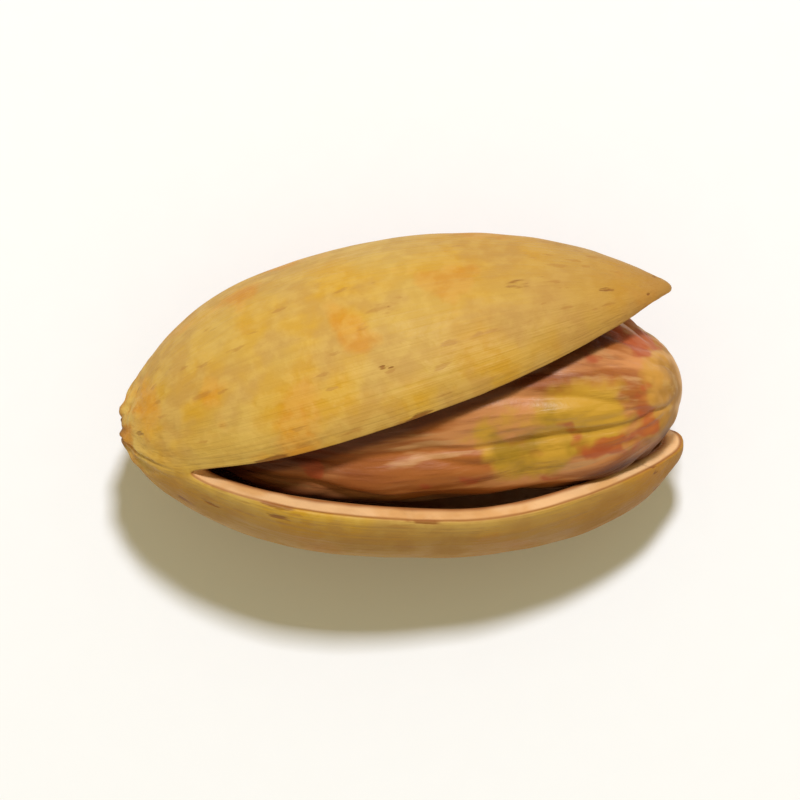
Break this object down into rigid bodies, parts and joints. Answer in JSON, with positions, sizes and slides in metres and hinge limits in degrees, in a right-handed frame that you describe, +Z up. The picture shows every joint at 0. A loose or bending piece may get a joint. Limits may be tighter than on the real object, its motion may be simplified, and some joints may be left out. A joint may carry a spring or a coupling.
{
  "type": "pistachio in shell",
  "caption": "Split nut shell of two valves joined at the stem end, gaping over a loose wrinkled kernel; lies on a small flat spot.",
  "frame": {"origin": "centre of the bounding box in plan, on the surface that the nut lies on", "axes": "+Z up; +X along the nut from its stem end to its tip; the shell gapes upwards and towards -Y"},
  "size_m": [0.0204, 0.0118, 0.0114],
  "materials": {
    "shell": "dry woody shell, matt to faintly satin, tan gold with browner speckles and a paler rim",
    "kernel": "thin wrinkled seed coat, soft sheen, red brown to purple with yellow green where it is thin"
  },
  "bodies": {
    "root": {"shell": "shell", "kernel": "kernel"}
  },
  "joints": []
}
